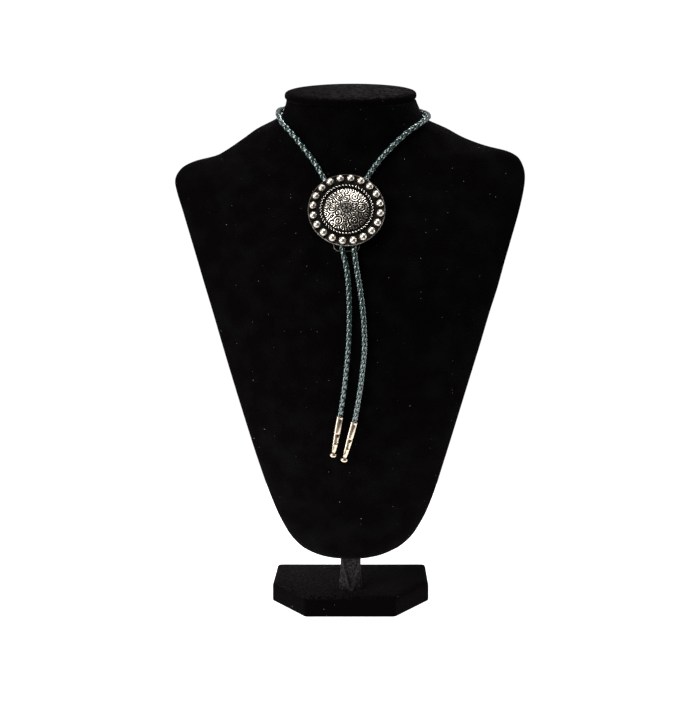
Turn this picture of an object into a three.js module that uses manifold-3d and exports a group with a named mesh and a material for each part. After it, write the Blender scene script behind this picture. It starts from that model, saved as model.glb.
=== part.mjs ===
// Bolo tie with a round berry concho, hung on a plain velvet neck bust.
// Millimetres, +Z up. The front faces -Y, and the origin is the centre of the base's underside.
import * as THREE from 'three';
import { mergeVertices } from 'three/addons/utils/BufferGeometryUtils.js';
import Module from 'manifold-3d';

const wasm = await Module();
wasm.setup();

// Clearance between pieces that touch
const GAP = 0.3;

// Display base and post
const BASE_HEIGHT = 14;
const BASE_BEVEL = 1.2;
const BASE_SIDE_RADIUS = 2;
const BASE_BACK_RADIUS = 4;
const BASE_CORNERS = [
  { x: 29, y: -38, radius: BASE_SIDE_RADIUS },
  { x: 52, y: -1, radius: BASE_SIDE_RADIUS },
  { x: 50, y: 38, radius: BASE_BACK_RADIUS },
  { x: -49, y: 38, radius: BASE_BACK_RADIUS },
  { x: -52, y: -1, radius: BASE_SIDE_RADIUS },
  { x: -29, y: -38, radius: BASE_SIDE_RADIUS },
];
const POST_WIDTH = 13.2;
const POST_DEPTH = 10;
const POST_RADIUS = 3;
const POST_CENTRE_Y = -18;
const POST_TOP = 52;

// Neck bust, from its round toe to the top of the neck, in level sections.
// left, right: half-widths. front, edge, back: y of the front, of the widest point and of the back.
// lip: depth of the round side edge. crown: how sharply the face swells (0.5 is an ellipse, 1 a soft arch).
const BUST_SECTIONS = [
  { z: 34.6, left: 4, right: 4, front: -22, edge: -20, back: -18, lip: 1.5, crown: 0.5 },
  { z: 36, left: 14.8, right: 14.2, front: -25.5, edge: -20, back: -15, lip: 4, crown: 0.6 },
  { z: 40, left: 27, right: 26.6, front: -29.5, edge: -20, back: -11.5, lip: 5.5, crown: 0.7 },
  { z: 47, left: 36.2, right: 37, front: -32.5, edge: -20, back: -9.5, lip: 6.5, crown: 0.8 },
  { z: 60, left: 44.8, right: 46.3, front: -35, edge: -20, back: -8, lip: 7, crown: 0.9 },
  { z: 75, left: 51.4, right: 53, front: -37, edge: -20, back: -7, lip: 7, crown: 1 },
  { z: 100, left: 60, right: 60.8, front: -40.5, edge: -20.5, back: -6, lip: 7, crown: 1 },
  { z: 130, left: 69.1, right: 69.6, front: -44, edge: -21, back: -5, lip: 7, crown: 1 },
  { z: 160, left: 78, right: 78.5, front: -46, edge: -19.5, back: -3, lip: 7, crown: 1 },
  { z: 180, left: 83.9, right: 84.6, front: -46, edge: -17, back: -1, lip: 7, crown: 1 },
  { z: 200, left: 89.7, right: 90.5, front: -44.5, edge: -14, back: 3, lip: 7, crown: 1 },
  { z: 215, left: 94.4, right: 95.5, front: -41.5, edge: -10, back: 8, lip: 7, crown: 1 },
  { z: 230, left: 99.1, right: 99.9, front: -36.8, edge: -5, back: 14, lip: 7, crown: 1 },
  { z: 243, left: 103.3, right: 104, front: -30, edge: 0.5, back: 21, lip: 7, crown: 1 },
  { z: 264, left: 110.2, right: 110.5, front: -16.3, edge: 10, back: 34, lip: 7, crown: 1 },
  { z: 275, left: 113.9, right: 113.2, front: -9.3, edge: 15.5, back: 41, lip: 7, crown: 1 },
  { z: 281, left: 114.9, right: 114.1, front: -5.7, edge: 18.5, back: 45, lip: 7, crown: 1 },
  { z: 286, left: 112.8, right: 114, front: -3, edge: 21, back: 49, lip: 7, crown: 1 },
  { z: 290, left: 108.4, right: 112.9, front: -1.2, edge: 23, back: 52, lip: 7, crown: 1 },
  { z: 293, left: 101.2, right: 111.4, front: 0.1, edge: 24.5, back: 54, lip: 6.5, crown: 1 },
  { z: 296, left: 88.6, right: 108.7, front: 1.3, edge: 26, back: 56.5, lip: 6.5, crown: 1 },
  { z: 299, left: 82.3, right: 102.3, front: 2.3, edge: 27.5, back: 59, lip: 6.5, crown: 1 },
  { z: 302, left: 77.4, right: 89.4, front: 3, edge: 29, back: 61, lip: 6.5, crown: 0.95 },
  { z: 307, left: 69.9, right: 74.9, front: 3.7, edge: 31, back: 64, lip: 6.5, crown: 0.85 },
  { z: 313, left: 60.9, right: 62.9, front: 4, edge: 33.5, back: 67, lip: 6.5, crown: 0.7 },
  { z: 318.5, left: 49.4, right: 49.9, front: 3.8, edge: 35.5, back: 69.5, lip: 6.5, crown: 0.55 },
  { z: 321.5, left: 45.4, right: 46.9, front: 3.5, edge: 36.3, back: 70.4, lip: 6.5, crown: 0.5 },
  { z: 325, left: 43.8, right: 45.5, front: 3.2, edge: 37, back: 71, lip: 6.5, crown: 0.5 },
  { z: 331.5, left: 42.2, right: 43.2, front: 2.7, edge: 37, back: 71.3, lip: 6.5, crown: 0.5 },
];
const BUST_AROUND = 40;
const BUST_LONGEST_STEP = 20;

// Padded cap on the neck
const CAP_HALF_WIDTH = 43.4;
const CAP_HALF_DEPTH = 35;
const CAP_THICKNESS = 5.4;
const CAP_BEVEL = 1.6;
const CAP_CENTRE_Y = 37;

// Concho: 49.8 mm across, leaning back with the chest under it.
// Its own frame has X to the right, Y up its face and Z out of its face, from its flat back.
const CONCHO_CENTRE = new THREE.Vector3(-2.5, -22.45, 268.3);
const CONCHO_LEAN = THREE.MathUtils.degToRad(33);
const CONCHO_RADIUS = 24.9;
const RIM_HEIGHT = 1.7;
const RIM_WIDTH = 0.8;
const CHANNEL_FLOOR = 1.2;
const ROPE_SEAT = 1.6;
const BEAD_COUNT = 20;
const BEAD_RADIUS = 2.4;
const BEAD_CIRCLE = 21.8;
const ROPE_RADIUS = 16.7;
const ROPE_THICKNESS = 0.95;
const ROPE_STEPS = 56;
const ROPE_TWIST = Math.PI / 4;
const DOME_RADIUS = 14.9;
const DOME_BASE = 1.9;
const DOME_APEX = 5.2;
const DOME_STEPS = 5;
const TURNED_SIDES = 40;
const SCROLL_COUNT = 6;
const SCROLL_CIRCLE = 9.5;
const SCROLL_OUTER = 3.9;
const SCROLL_INNER = 0.8;
const SCROLL_HALF_TURNS = 3;
const SCROLL_POINTS = 14;
const SCROLL_RIDGE = 0.45;
const FLOWER_RING = 4.9;
const PETAL_CIRCLE = 2.2;
const PETAL_LENGTH = 1.5;
const PETAL_WIDTH = 0.6;
const PETAL_HEIGHT = 0.8;

// Clasp behind the concho, in the concho's frame: Z is negative behind it
const CLASP_PLATE = 0.8;
const CLASP_HALF_WIDTH = 7.9;
const CLASP_BOTTOM = -19.2;
const CLASP_TOP = 3.8;
const CLASP_WALL = 0.9;
const CLASP_RIB = 2.4;
const CLASP_RIB_DEPTH = 2;
const CLASP_DEPTH = 5.2;
const WIRE_RADIUS = 0.5;
const WIRE_HALF_WIDTH = 8.1;
const WIRE_BOTTOM = -25.2;
const WIRE_DEPTH = -6.4;
const WIRE_CORNER = 3;

// Cord: one round braided cord from tip to tip, through the clasp, round the neck and back through it
const CORD_DIAMETER = 4;
const CORD_SIDES = 8;
const CORD_STEPS = 66;
const CORD_ROUTE = [
  // left tail, upward from its tip
  [-6.7, -48.3, 138.6],
  [-3.9, -48.5, 158.5],
  [-1.5, -48.3, 184],
  [-0.8, -46.7, 202],
  [-1.1, -43, 218],
  [-2.3, -38.9, 232],
  [-5.2, -33.2, 245.4],
  // through the clasp, then up the left of the chest
  [-6.5, -25.9, 256.5],
  [-6.5, -19, 267],
  [-9.2, -13.8, 274.4],
  [-16.3, -6.3, 284.9],
  [-22.5, -0.8, 294.6],
  [-30, 3.9, 304.2],
  [-37.7, 8.7, 312.9],
  [-44.4, 15.5, 319.4],
  [-46.7, 22.5, 322.9],
  // round the back of the neck
  [-47.1, 37, 323.6],
  [-43.9, 51.2, 322.8],
  [-25, 69.7, 322.6],
  [0, 74.6, 322.6],
  [25.8, 69.8, 321.8],
  [46.5, 51.2, 321],
  [50.8, 37.5, 320.9],
  // down the right of the chest and through the clasp again
  [49.9, 26.5, 320.8],
  [45.5, 16.3, 319],
  [37.1, 8.8, 314.4],
  [26.8, 3.4, 305.7],
  [17.7, -0.8, 296.3],
  [9.6, -6.9, 285.4],
  [3.7, -13.4, 275],
  [1.7, -19, 267],
  [1.7, -25.9, 256.5],
  // right tail, downward to its tip
  [2.2, -33.2, 245.4],
  [4.1, -38.9, 232],
  [6.6, -43.2, 217.5],
  [8.5, -47.2, 199],
  [8.8, -48.5, 183],
  [7.1, -48.6, 164.5],
  [4.8, -48.5, 148],
  [2.4, -48.3, 134.9],
];

// Cord tips: a plain barrel, a slimmer tapered end and a flattened ball
const TIP_SIDES = 12;
const TIP_PROFILE = [
  { radius: 0, down: 0 },
  { radius: 2.2, down: 0 },
  { radius: 2.4, down: 0.3 },
  { radius: 2.4, down: 11 },
  { radius: 2.1, down: 11.6 },
  { radius: 2.25, down: 12.4 },
  { radius: 1.95, down: 18 },
  { radius: 2.1, down: 18.6 },
  { radius: 1.5, down: 23.9 },
  { radius: 1.2, down: 24.6 },
  { radius: 2.1, down: 25.3 },
  { radius: 2.45, down: 26.3 },
  { radius: 2.1, down: 27.3 },
  { radius: 1.1, down: 28 },
  { radius: 0, down: 28.1 },
];
const TIPS = [
  { name: 'left_tip', top: [-6.7, -48.3, 138.6], end: [-11.5, -48, 111.2] },
  { name: 'right_tip', top: [2.4, -48.3, 134.9], end: [-4.8, -48, 107.4] },
];

const velvet = new THREE.MeshStandardMaterial({ color: '#0b0a0b', roughness: 0.95, metalness: 0 });
const silver = new THREE.MeshStandardMaterial({ color: '#cfcabf', roughness: 0.3, metalness: 1 });
const leather = new THREE.MeshStandardMaterial({ color: '#1f4f4a', roughness: 0.45, metalness: 0 });

/** Gives a named mesh. */
function piece(name, geometry, material) {
  const mesh = new THREE.Mesh(geometry, material);
  mesh.name = name;
  return mesh;
}

/** Turns a closed three.js geometry into a manifold solid. */
function toSolid(geometry) {
  const bare = geometry.index ? geometry.toNonIndexed() : geometry.clone();
  bare.deleteAttribute('normal');
  bare.deleteAttribute('uv');
  const merged = mergeVertices(bare, 1e-4);
  return new wasm.Manifold(new wasm.Mesh({
    numProp: 3,
    vertProperties: new Float32Array(merged.attributes.position.array),
    triVerts: new Uint32Array(merged.index.array),
  }));
}

/** Turns a manifold solid into a three.js geometry. */
function toGeometry(solid) {
  const mesh = solid.getMesh();
  const geometry = new THREE.BufferGeometry();
  geometry.setAttribute('position', new THREE.BufferAttribute(mesh.vertProperties, 3));
  geometry.setIndex(new THREE.BufferAttribute(mesh.triVerts, 1));
  geometry.computeVertexNormals();
  return geometry;
}

/** Joins closed geometries into one solid. */
function fuse(geometries) {
  return geometries.map(toSolid).reduce((whole, part) => whole.add(part));
}

/** Draws a closed outline with each corner rounded by its own radius. */
function roundedOutline(corners) {
  const shape = new THREE.Shape();
  corners.forEach((corner, index) => {
    const here = new THREE.Vector2(corner.x, corner.y);
    const before = corners[(index + corners.length - 1) % corners.length];
    const after = corners[(index + 1) % corners.length];
    const from = new THREE.Vector2(before.x, before.y).sub(here).setLength(corner.radius).add(here);
    const to = new THREE.Vector2(after.x, after.y).sub(here).setLength(corner.radius).add(here);
    if (index === 0) {
      shape.moveTo(from.x, from.y);
    } else {
      shape.lineTo(from.x, from.y);
    }
    shape.quadraticCurveTo(here.x, here.y, to.x, to.y);
  });
  shape.closePath();
  return shape;
}

/** Draws a rectangle about a centre, with round corners. */
function roundedRectangle(width, depth, radius, centreY) {
  return roundedOutline([
    { x: width / 2, y: centreY - depth / 2, radius },
    { x: width / 2, y: centreY + depth / 2, radius },
    { x: -width / 2, y: centreY + depth / 2, radius },
    { x: -width / 2, y: centreY - depth / 2, radius },
  ]);
}

/** Sweeps a round section along a curve, with flat ends. */
function sweep(curve, radius, sides, steps) {
  const section = new THREE.Shape(Array.from({ length: sides }, (_, index) => {
    const angle = (index * 2 * Math.PI) / sides;
    return new THREE.Vector2(radius * Math.cos(angle), radius * Math.sin(angle));
  }));
  return new THREE.ExtrudeGeometry(section, { steps, extrudePath: curve });
}

/** The velvet-covered base: a six-sided board with a rounded edge. */
function makeBase() {
  const geometry = new THREE.ExtrudeGeometry(roundedOutline(BASE_CORNERS), {
    depth: BASE_HEIGHT - 2 * BASE_BEVEL,
    bevelThickness: BASE_BEVEL,
    bevelSize: BASE_BEVEL,
    bevelOffset: -BASE_BEVEL,
    bevelSegments: 3,
    curveSegments: 3,
  });
  geometry.translate(0, 0, BASE_BEVEL);
  return piece('stand_base', geometry, velvet);
}

/** The post, which stands on the base and goes up into the bust's toe. */
function makePost() {
  const foot = BASE_HEIGHT + GAP;
  const outline = roundedRectangle(POST_WIDTH, POST_DEPTH, POST_RADIUS, POST_CENTRE_Y);
  const geometry = new THREE.ExtrudeGeometry(outline, {
    depth: POST_TOP - foot,
    bevelEnabled: false,
    curveSegments: 3,
  });
  geometry.translate(0, 0, foot);
  return piece('stand_post', geometry, velvet);
}

/** Heights of the bust's sections: the table's own, and more where they lie far apart. */
function bustHeights() {
  const heights = [];
  BUST_SECTIONS.slice(0, -1).forEach((section, index) => {
    const span = BUST_SECTIONS[index + 1].z - section.z;
    const count = Math.ceil(span / BUST_LONGEST_STEP);
    for (let step = 0; step < count; step += 1) {
      heights.push(section.z + (span * step) / count);
    }
  });
  heights.push(BUST_SECTIONS.at(-1).z);
  return heights;
}

/** One level section of the bust, as points from its right edge round by the back. */
function bustRing(z, left, right, front, edge, back, lip, crown) {
  return Array.from({ length: BUST_AROUND }, (_, index) => {
    const angle = (index * 2 * Math.PI) / BUST_AROUND;
    const across = Math.cos(angle);
    const swell = Math.abs(Math.sin(angle));
    const behind = Math.sin(angle) > 0;
    const reach = behind ? back - edge : edge - front;
    const round = Math.min(lip, reach);
    const depth = round * swell + (reach - round) * swell ** (2 * crown);
    return [across * (across > 0 ? right : left), edge + (behind ? depth : -depth), z];
  });
}

/** The bust's torso and neck, lofted through its sections, with a socket for the post. */
function makeBust() {
  const columns = ['left', 'right', 'front', 'edge', 'back', 'lip', 'crown'];
  const places = BUST_SECTIONS.map((section) => section.z);
  const values = BUST_SECTIONS.flatMap((section) => columns.map((column) => section[column]));
  const sections = new THREE.CubicInterpolant(places, values, columns.length);
  const rings = bustHeights().map((z) => bustRing(z, ...sections.evaluate(z)));
  const points = rings.flat();
  const triangles = [];
  for (let ring = 0; ring < rings.length - 1; ring += 1) {
    for (let side = 0; side < BUST_AROUND; side += 1) {
      const here = ring * BUST_AROUND + side;
      const next = ring * BUST_AROUND + ((side + 1) % BUST_AROUND);
      triangles.push(here, next, next + BUST_AROUND);
      triangles.push(here, next + BUST_AROUND, here + BUST_AROUND);
    }
  }
  const toe = points.push([0, BUST_SECTIONS[0].edge, BUST_SECTIONS[0].z - 0.2]) - 1;
  const top = points.push([0, BUST_SECTIONS.at(-1).edge, BUST_SECTIONS.at(-1).z]) - 1;
  const lastRing = (rings.length - 1) * BUST_AROUND;
  for (let side = 0; side < BUST_AROUND; side += 1) {
    const next = (side + 1) % BUST_AROUND;
    triangles.push(toe, next, side);
    triangles.push(top, lastRing + side, lastRing + next);
  }
  const geometry = new THREE.BufferGeometry();
  geometry.setAttribute('position', new THREE.Float32BufferAttribute(points.flat(), 3));
  geometry.setIndex(triangles);
  const hole = roundedRectangle(
    POST_WIDTH + 2 * GAP, POST_DEPTH + 2 * GAP, POST_RADIUS + GAP, POST_CENTRE_Y,
  );
  const socket = new THREE.ExtrudeGeometry(hole, {
    depth: POST_TOP + GAP - BASE_HEIGHT,
    bevelEnabled: false,
    curveSegments: 3,
  });
  socket.translate(0, 0, BASE_HEIGHT);
  return piece('bust_body', toGeometry(toSolid(geometry).subtract(toSolid(socket))), velvet);
}

/** The padded oval cap on top of the neck. */
function makeCap() {
  const outline = new THREE.Shape();
  outline.absellipse(0, 0, CAP_HALF_WIDTH, CAP_HALF_DEPTH, 0, 2 * Math.PI);
  const geometry = new THREE.ExtrudeGeometry(outline, {
    depth: CAP_THICKNESS - 2 * CAP_BEVEL,
    bevelThickness: CAP_BEVEL,
    bevelSize: CAP_BEVEL,
    bevelOffset: -CAP_BEVEL,
    bevelSegments: 3,
    curveSegments: 22,
  });
  geometry.translate(0, CAP_CENTRE_Y, BUST_SECTIONS.at(-1).z + GAP + CAP_BEVEL);
  return piece('neck_cap', geometry, velvet);
}

/** Height of the dome's surface at a distance from its axis: part of a sphere. */
function domeHeight(distance) {
  const rise = DOME_APEX - DOME_BASE;
  const sphere = (DOME_RADIUS ** 2 + rise ** 2) / (2 * rise);
  return DOME_APEX - sphere + Math.sqrt(sphere ** 2 - distance ** 2);
}

/** The turned body of the concho: flat back, thin rim, sunk channel, rope seat and dome. */
function conchoBody() {
  const edge = 0.4;
  const profile = [
    [0, 0],
    [CONCHO_RADIUS - edge, 0],
    [CONCHO_RADIUS, edge],
    [CONCHO_RADIUS, RIM_HEIGHT - edge],
    [CONCHO_RADIUS - edge, RIM_HEIGHT],
    [CONCHO_RADIUS - RIM_WIDTH, CHANNEL_FLOOR],
    [ROPE_RADIUS + ROPE_THICKNESS + edge, CHANNEL_FLOOR],
    [ROPE_RADIUS + ROPE_THICKNESS, ROPE_SEAT],
    [DOME_RADIUS + edge, ROPE_SEAT],
    [DOME_RADIUS, DOME_BASE],
  ];
  for (let step = 1; step < DOME_STEPS; step += 1) {
    const distance = DOME_RADIUS * (1 - step / DOME_STEPS);
    profile.push([distance, domeHeight(distance)]);
  }
  profile.push([0, DOME_APEX]);
  const points = profile.map(([radius, height]) => new THREE.Vector2(radius, height));
  return new THREE.LatheGeometry(points, TURNED_SIDES).rotateX(Math.PI / 2);
}

/** The round beads in the channel, spaced evenly with a gap at the very top. */
function conchoBeads() {
  return Array.from({ length: BEAD_COUNT }, (_, index) => {
    const angle = ((index + 0.5) * 2 * Math.PI) / BEAD_COUNT + Math.PI / 2;
    const bead = new THREE.SphereGeometry(BEAD_RADIUS, 10, 5);
    bead.rotateX(Math.PI / 2);
    const height = CHANNEL_FLOOR + BEAD_RADIUS / 2;
    return bead.translate(BEAD_CIRCLE * Math.cos(angle), BEAD_CIRCLE * Math.sin(angle), height);
  });
}

/** The rope ring round the dome: a square wire, twisted by an eighth of a turn at each step. */
function conchoRope() {
  const ring = new THREE.TorusGeometry(ROPE_RADIUS, ROPE_THICKNESS, 4, ROPE_STEPS);
  const height = ROPE_SEAT + ROPE_THICKNESS / 2;
  const position = ring.attributes.position;
  for (let index = 0; index < position.count; index += 1) {
    const step = index % (ROPE_STEPS + 1);
    const side = Math.floor(index / (ROPE_STEPS + 1));
    const along = (step * 2 * Math.PI) / ROPE_STEPS;
    const around = (side * Math.PI) / 2 + step * ROPE_TWIST;
    const radius = ROPE_RADIUS + ROPE_THICKNESS * Math.cos(around);
    const up = height + ROPE_THICKNESS * Math.sin(around);
    position.setXYZ(index, radius * Math.cos(along), radius * Math.sin(along), up);
  }
  return ring;
}

/** A point on the dome, from flat coordinates across it. */
function onDome(x, y) {
  return new THREE.Vector3(x, y, domeHeight(Math.hypot(x, y)));
}

/** One spiral ridge on the dome, winding inward about its own centre. */
function scroll(turn) {
  const centreX = SCROLL_CIRCLE * Math.cos(turn);
  const centreY = SCROLL_CIRCLE * Math.sin(turn);
  const points = Array.from({ length: SCROLL_POINTS + 1 }, (_, index) => {
    const along = index / SCROLL_POINTS;
    const radius = SCROLL_OUTER + (SCROLL_INNER - SCROLL_OUTER) * along;
    const angle = turn + Math.PI * (0.75 - SCROLL_HALF_TURNS * along);
    return onDome(centreX + radius * Math.cos(angle), centreY + radius * Math.sin(angle));
  });
  return sweep(new THREE.CatmullRomCurve3(points), SCROLL_RIDGE, 3, SCROLL_POINTS);
}

/** One petal of the small flower on the dome's crown. */
function petal(turn) {
  const shape = new THREE.OctahedronGeometry(1);
  shape.scale(PETAL_LENGTH, PETAL_WIDTH, PETAL_HEIGHT);
  shape.translate(PETAL_CIRCLE, 0, domeHeight(PETAL_CIRCLE));
  return shape.rotateZ(turn);
}

/** The raised pattern on the dome: spirals round a ring and a small flower. */
function conchoScrolls() {
  const ring = new THREE.TorusGeometry(FLOWER_RING, SCROLL_RIDGE, 3, 18);
  ring.translate(0, 0, domeHeight(FLOWER_RING));
  const turns = Array.from({ length: SCROLL_COUNT }, (_, index) => (index * 2 * Math.PI) / SCROLL_COUNT);
  return [ring, ...turns.map(scroll), ...turns.map(petal)];
}

/** The whole concho as one cast and soldered piece. */
function makeConcho() {
  const parts = [conchoBody(), ...conchoBeads(), conchoRope(), ...conchoScrolls()];
  return piece('concho', toGeometry(fuse(parts)), silver);
}

/** A box between two corners in the concho's frame. */
function block(fromX, toX, fromY, toY, fromZ, toZ) {
  const box = new THREE.BoxGeometry(toX - fromX, toY - fromY, toZ - fromZ);
  return box.translate((fromX + toX) / 2, (fromY + toY) / 2, (fromZ + toZ) / 2);
}

/** The plain clasp: a plate with side walls, a rib between the cords and a wire keeper behind them. */
function makeClasp() {
  const front = -GAP;
  const inner = front - CLASP_PLATE;
  const back = front - CLASP_DEPTH;
  const width = CLASP_HALF_WIDTH;
  const parts = [
    block(-width, width, CLASP_BOTTOM, CLASP_TOP, inner, front),
    block(-width, CLASP_WALL - width, CLASP_BOTTOM, CLASP_TOP, back, front),
    block(width - CLASP_WALL, width, CLASP_BOTTOM, CLASP_TOP, back, front),
    block(-CLASP_RIB / 2, CLASP_RIB / 2, CLASP_BOTTOM, CLASP_TOP, inner - CLASP_RIB_DEPTH, front),
  ];
  const keeper = new THREE.CatmullRomCurve3([
    [-width - 0.2, CLASP_BOTTOM + 4, back + 0.6],
    [-width - 0.4, CLASP_BOTTOM + 1, back + 0.3],
    [-WIRE_HALF_WIDTH, CLASP_BOTTOM - 1.5, WIRE_DEPTH + 0.2],
    [-WIRE_HALF_WIDTH, WIRE_BOTTOM + WIRE_CORNER, WIRE_DEPTH],
    [-WIRE_HALF_WIDTH + 0.3 * WIRE_CORNER, WIRE_BOTTOM + 0.3 * WIRE_CORNER, WIRE_DEPTH],
    [-WIRE_HALF_WIDTH + WIRE_CORNER, WIRE_BOTTOM, WIRE_DEPTH],
    [0, WIRE_BOTTOM, WIRE_DEPTH],
    [WIRE_HALF_WIDTH - WIRE_CORNER, WIRE_BOTTOM, WIRE_DEPTH],
    [WIRE_HALF_WIDTH - 0.3 * WIRE_CORNER, WIRE_BOTTOM + 0.3 * WIRE_CORNER, WIRE_DEPTH],
    [WIRE_HALF_WIDTH, WIRE_BOTTOM + WIRE_CORNER, WIRE_DEPTH],
    [WIRE_HALF_WIDTH, WIRE_BOTTOM + WIRE_CORNER + 1, WIRE_DEPTH],
  ].map(([x, y, z]) => new THREE.Vector3(x, y, z)));
  parts.push(sweep(keeper, WIRE_RADIUS, 6, 26));
  return piece('slide_clasp', toGeometry(fuse(parts)), silver);
}

/** The cord as a plain round tube along its route, a little clear of the tips at both ends. */
function makeCord() {
  const points = CORD_ROUTE.map(([x, y, z]) => new THREE.Vector3(x, y, z));
  const last = points.length - 1;
  points[0].lerp(points[1], GAP / points[0].distanceTo(points[1]));
  points[last].lerp(points[last - 1], GAP / points[last].distanceTo(points[last - 1]));
  const route = new THREE.CatmullRomCurve3(points);
  const geometry = sweep(route, CORD_DIAMETER / 2, CORD_SIDES, CORD_STEPS);
  return piece('cord', geometry, leather);
}

/** One turned metal tip, from the cord's end down. */
function makeTip({ name, top, end }) {
  const points = TIP_PROFILE.map(({ radius, down }) => new THREE.Vector2(radius, -down)).reverse();
  const tip = piece(name, new THREE.LatheGeometry(points, TIP_SIDES), silver);
  const axis = new THREE.Vector3(...top).sub(new THREE.Vector3(...end)).normalize();
  tip.position.set(...top);
  tip.quaternion.setFromUnitVectors(new THREE.Vector3(0, 1, 0), axis);
  return tip;
}

/** The concho and its clasp, placed together on the chest. */
function makeSlide() {
  const slide = new THREE.Group();
  slide.position.copy(CONCHO_CENTRE);
  slide.rotation.x = Math.PI / 2 - CONCHO_LEAN;
  slide.add(makeConcho(), makeClasp());
  return slide;
}

const boloTie = new THREE.Group();
boloTie.add(makeBase(), makePost(), makeBust(), makeCap());
boloTie.add(makeSlide(), makeCord(), ...TIPS.map(makeTip));

export default boloTie;
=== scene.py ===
"""A bolo tie on its velvet neck bust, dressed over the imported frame.

Everything is in metres, +Z up. The front faces -Y and the origin is the centre of the base's underside.
"""

import logging
import math
from collections.abc import Callable, Sequence
from dataclasses import dataclass
from enum import Enum
from functools import partial

import bmesh
import bpy
from mathutils import Matrix, Vector
from mathutils.kdtree import KDTree


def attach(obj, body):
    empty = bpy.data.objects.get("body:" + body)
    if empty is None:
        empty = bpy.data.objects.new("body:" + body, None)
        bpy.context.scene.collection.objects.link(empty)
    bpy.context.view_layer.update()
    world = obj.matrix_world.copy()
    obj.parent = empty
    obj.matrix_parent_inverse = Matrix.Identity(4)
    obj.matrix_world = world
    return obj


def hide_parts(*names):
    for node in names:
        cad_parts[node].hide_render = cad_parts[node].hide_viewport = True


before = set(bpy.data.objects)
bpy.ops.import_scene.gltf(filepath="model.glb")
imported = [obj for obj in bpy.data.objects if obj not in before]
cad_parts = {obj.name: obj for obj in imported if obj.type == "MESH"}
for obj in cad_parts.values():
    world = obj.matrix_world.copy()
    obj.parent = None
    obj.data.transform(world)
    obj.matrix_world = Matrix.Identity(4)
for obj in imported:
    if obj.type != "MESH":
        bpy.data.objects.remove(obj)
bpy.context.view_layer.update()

LOG = logging.getLogger("bolo_tie")
MM = 0.001
FULL_TURN = 2 * math.pi
FRONT = Vector((0.0, -1.0, 0.0))
WHITE = (1.0, 1.0, 1.0, 1.0)
# Points closer than this are one point: on a grid's seam, and on a turned profile's
SEAM = 1e-7
TURNED_SEAM = 1e-6
# The point at a share of the way along and around a surface
Place = Callable[[float, float], Vector]
# An angle at a distance along a cord
Twist = Callable[[float], float]

# The concho's own frame: X to the right, Y up its face, Z out of its face, from its flat back
CONCHO_PLACE = Matrix.Translation((-0.0026, -0.02245, 0.2683)) @ Matrix.Rotation(math.radians(57), 4, "X")


class Slot(Enum):
    """The material slots."""

    VELVET = "velvet"
    ANTIQUED = "antiqued_silver"
    BRIGHT = "bright_silver"
    LEATHER = "braided_leather"


class Lay(Enum):
    """Which way a strand winds round its cord."""

    RIGHT = 1
    LEFT = -1


def linear(colour: str) -> tuple[float, float, float, float]:
    """Turns an sRGB hex colour to linear light.

    Args:
        colour: The colour as #rrggbb.

    Returns:
        Red, green and blue in linear light, and an alpha of 1.
    """
    parts = [int(colour[start:start + 2], 16) / 255 for start in (1, 3, 5)]
    light = [part / 12.92 if part <= 0.04045 else ((part + 0.055) / 1.055) ** 2.4 for part in parts]
    return light[0], light[1], light[2], 1.0


def signed_power(value: float, power: float) -> float:
    """Raises a number's size to a power and keeps its sign."""
    return math.copysign(abs(value) ** power, value)


def smooth_step(low: float, high: float, value: float) -> float:
    """Eases from 0 at low to 1 at high."""
    part = min(max((value - low) / (high - low), 0.0), 1.0)
    return part * part * (3 - 2 * part)


def fill(node: bpy.types.Node, sockets: dict) -> None:
    """Sets and links a node's inputs.

    Args:
        node: The node.
        sockets: By input name or number: a value, an output, or a node that gives its first output in use.
    """
    for name, value in sockets.items():
        if isinstance(value, bpy.types.Node):
            value = next(output for output in value.outputs if output.enabled)
        if isinstance(value, bpy.types.NodeSocket):
            node.id_data.links.new(value, node.inputs[name])
        else:
            node.inputs[name].default_value = value


def add_node(tree: bpy.types.NodeTree, kind: str, sockets: dict | None = None, **settings) -> bpy.types.Node:
    """Adds a node to a tree.

    Args:
        tree: The node tree.
        kind: The node's type.
        sockets: Its inputs, as fill takes them.
        **settings: The node's own settings.

    Returns:
        The new node.
    """
    node = tree.nodes.new(kind)
    for name, value in settings.items():
        setattr(node, name, value)
    fill(node, sockets or {})
    return node


def new_surface(name: str, **constants) -> tuple[bpy.types.Material, bpy.types.NodeTree, bpy.types.Node]:
    """Starts a material.

    Args:
        name: The material's name.
        **constants: Values for the shader's sockets, with _ for a space.

    Returns:
        The material, its node tree and its shader.
    """
    material = bpy.data.materials.new(name)
    material.use_nodes = True
    tree = material.node_tree
    shader = tree.nodes["Principled BSDF"]
    fill(shader, {socket.replace("_", " "): value for socket, value in constants.items()})
    return material, tree, shader


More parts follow.
